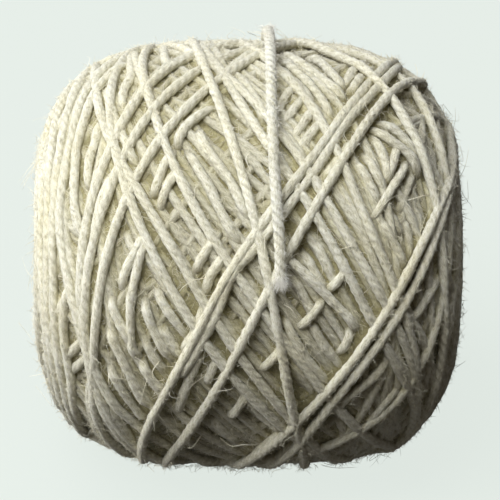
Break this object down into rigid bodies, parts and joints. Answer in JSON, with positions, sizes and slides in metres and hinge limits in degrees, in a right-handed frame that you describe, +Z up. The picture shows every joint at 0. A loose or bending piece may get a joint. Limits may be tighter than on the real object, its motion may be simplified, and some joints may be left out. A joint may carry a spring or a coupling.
{
  "type": "ball of yarn",
  "caption": "Cross-wound ball of undyed plied cotton blend yarn, squarish in outline, with a loose end over its face and a small flat spot to rest on.",
  "frame": {"origin": "on the surface that the ball stands on, under the middle of its bounding box", "axes": "+X along the winding axis, +Z up; the face with the loose end looks toward -Y and 30 degrees up"},
  "size_m": [0.0872, 0.0912, 0.0911],
  "materials": {
    "yarn": "matt, slightly hairy",
    "loose_end_yarn": "matt, slightly hairy"
  },
  "bodies": {
    "root": {"yarn_ball": "yarn", "loose_end": "loose_end_yarn"}
  },
  "joints": []
}
